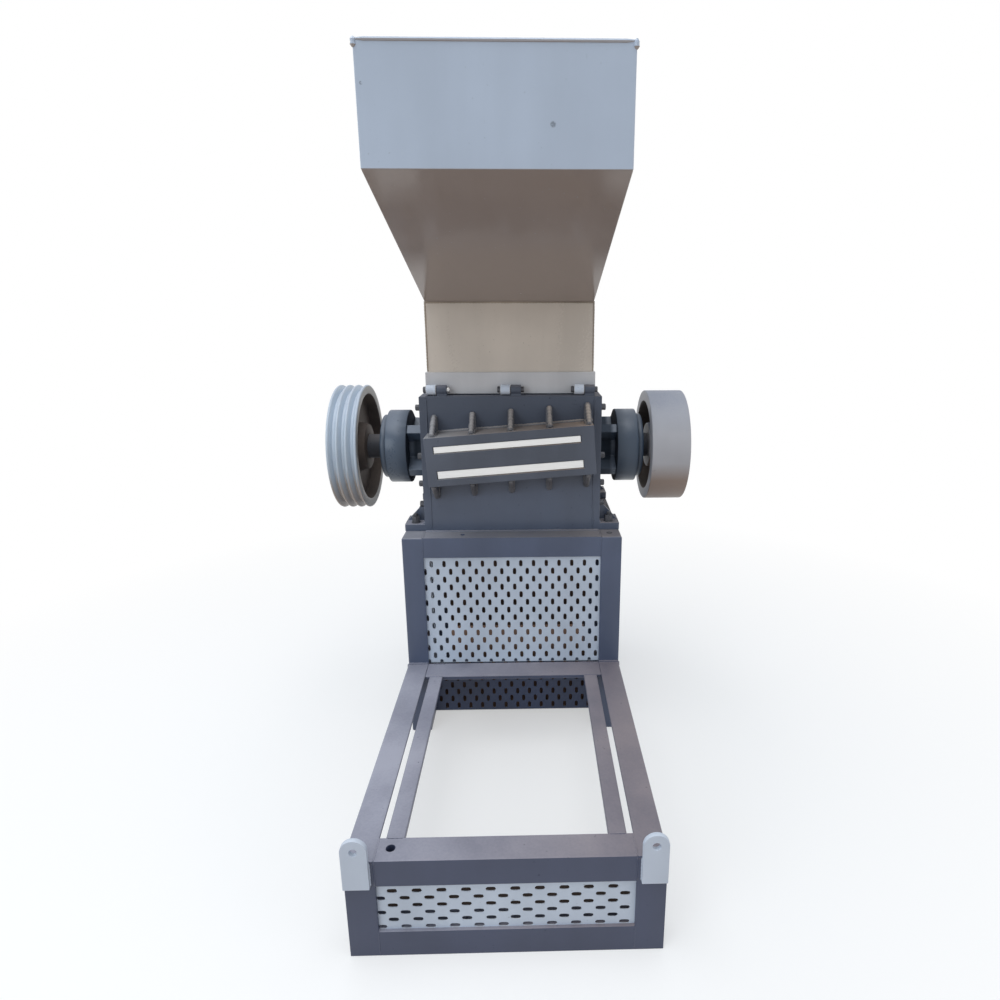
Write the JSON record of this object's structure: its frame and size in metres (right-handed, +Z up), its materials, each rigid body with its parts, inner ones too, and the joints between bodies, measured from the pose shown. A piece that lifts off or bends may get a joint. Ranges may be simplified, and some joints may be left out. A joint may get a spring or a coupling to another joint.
{
  "type": "plastic grinder",
  "caption": "Floor-standing scrap grinder with a motor base, box pedestal, cutting chamber, belt pulley, flywheel and a forward-reaching hinged feed hopper.",
  "frame": {"origin": "on the floor, under the middle of the machine's overall box", "axes": "+Z up, +X to the flywheel side, +Y to the back, so the motor base points to -Y"},
  "size_m": [1.292, 1.612, 2.037],
  "materials": {
    "frame_paint": "slate grey enamel, semi-gloss",
    "sheet_paint": "pale blue-grey enamel",
    "lug_paint": "pale grey enamel",
    "hopper_paint": "off-white enamel, glossy",
    "wheel_paint": "pale grey enamel",
    "ground_steel": "ground steel",
    "rotor_steel": "dull steel"
  },
  "bodies": {
    "machine": {"front_frame": "frame_paint", "side_rail_left": "frame_paint", "side_rail_right": "frame_paint", "motor_bed": "frame_paint", "lifting_lug_left": "lug_paint", "lifting_lug_right": "lug_paint", "front_vent_panel": "sheet_paint", "pedestal_side_left": "frame_paint", "pedestal_side_right": "frame_paint", "pedestal_beam_front": "frame_paint", "pedestal_beam_back": "frame_paint", "pedestal_back_rail": "frame_paint", "flake_chute": "frame_paint", "pedestal_front_panel": "sheet_paint", "pedestal_low_panel": "sheet_paint", "pedestal_side_panel_left": "sheet_paint", "pedestal_side_panel_right": "sheet_paint", "chamber_side_left": "frame_paint", "chamber_side_right": "frame_paint", "chamber_wall_front": "frame_paint", "chamber_wall_back": "frame_paint", "knife_bed_front": "frame_paint", "knife_bed_back": "frame_paint", "bed_knife_front": "ground_steel", "bed_knife_back": "ground_steel", "clamp_bar_front": "ground_steel", "clamp_bar_back": "ground_steel", "screen": "rotor_steel", "bearing_housing_left": "frame_paint", "bearing_housing_right": "frame_paint", "bearing_cover_left": "frame_paint", "bearing_cover_right": "frame_paint"},
    "rotor": {"rotor_shaft": "frame_paint", "rotor_drum": "rotor_steel", "rotor_knife_1": "ground_steel", "rotor_knife_2": "ground_steel", "rotor_knife_3": "ground_steel", "belt_pulley": "wheel_paint", "flywheel": "wheel_paint"},
    "hopper": {"hopper_collar": "hopper_paint", "hopper_neck": "hopper_paint", "hopper_floor": "hopper_paint", "hopper_mouth": "hopper_paint"}
  },
  "joints": [
    {"name": "rotor_spin", "type": "hinge", "parent": "machine", "child": "rotor", "pos_m": [0, 0.446, 1.012], "axis": [1, 0, 0], "continuous": true},
    {"name": "hopper_tilt", "type": "hinge", "parent": "machine", "child": "hopper", "pos_m": [0, 0.2, 1.252], "axis": [1, 0, 0], "range_deg": [0, 88]}
  ]
}
